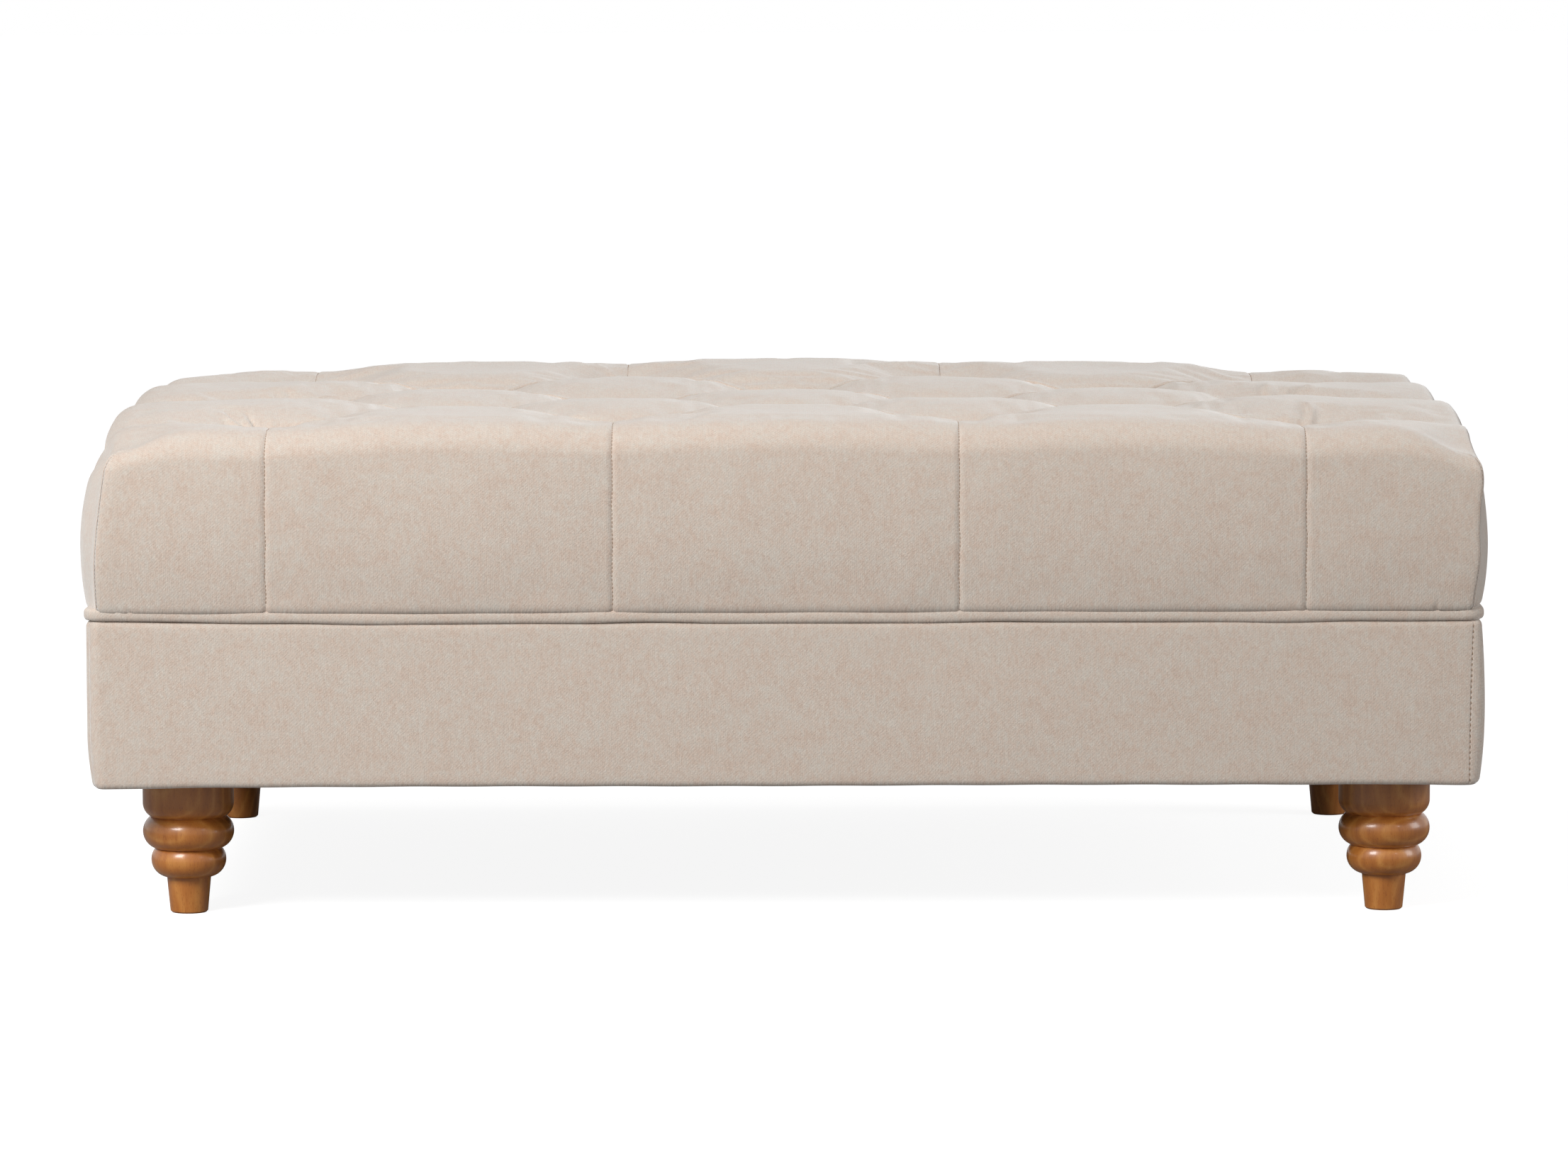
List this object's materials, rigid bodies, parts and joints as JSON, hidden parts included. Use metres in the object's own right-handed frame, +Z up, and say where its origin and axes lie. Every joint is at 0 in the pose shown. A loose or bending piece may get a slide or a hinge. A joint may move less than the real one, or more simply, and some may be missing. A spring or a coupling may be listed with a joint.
{
  "type": "upholstered bench",
  "caption": "Long low upholstered bench or footstool with a deep-buttoned diamond-tufted top, a welted joint, a plain covered base and turned wooden feet.",
  "frame": {"origin": "middle of the four feet on the floor, under the centre of the bench", "axes": "+X along the bench to the right as seen from the front, -Y out of the front face, +Z up"},
  "size_m": [1.208, 0.804, 0.4299],
  "materials": {
    "cover_cloth": "cream woven chenille with a short soft pile",
    "turned_wood": "honey stain under satin lacquer",
    "frame_wood": "planed, unfinished",
    "plywood": "sanded, unfinished",
    "foam": "open-cell foam",
    "wadding": "soft fibre wadding",
    "lining": "black non-woven cloth",
    "twine": "waxed flax twine",
    "steel": "zinc plated"
  },
  "bodies": {
    "root": {"foot_front_left": "turned_wood", "foot_front_right": "turned_wood", "foot_rear_left": "turned_wood", "foot_rear_right": "turned_wood", "hanger_bolts": "steel", "tee_nuts": "steel", "foot_block_front_left": "frame_wood", "foot_block_front_right": "frame_wood", "foot_block_rear_left": "frame_wood", "foot_block_rear_right": "frame_wood", "front_rail": "frame_wood", "rear_rail": "frame_wood", "left_rail": "frame_wood", "right_rail": "frame_wood", "cross_rail_left": "frame_wood", "cross_rail_right": "frame_wood", "frame_dowels": "frame_wood", "block_screws": "steel", "base_wadding": "wadding", "base_cover_front": "cover_cloth", "base_cover_rear": "cover_cloth", "base_cover_left": "cover_cloth", "base_cover_right": "cover_cloth", "bottom_lining": "lining", "welt": "cover_cloth", "seat_board": "plywood", "pad_screws": "steel", "seat_foam": "foam", "seat_cover": "cover_cloth", "seat_buttons": "cover_cloth", "button_twines": "twine", "twine_washers": "steel"}
  },
  "joints": []
}
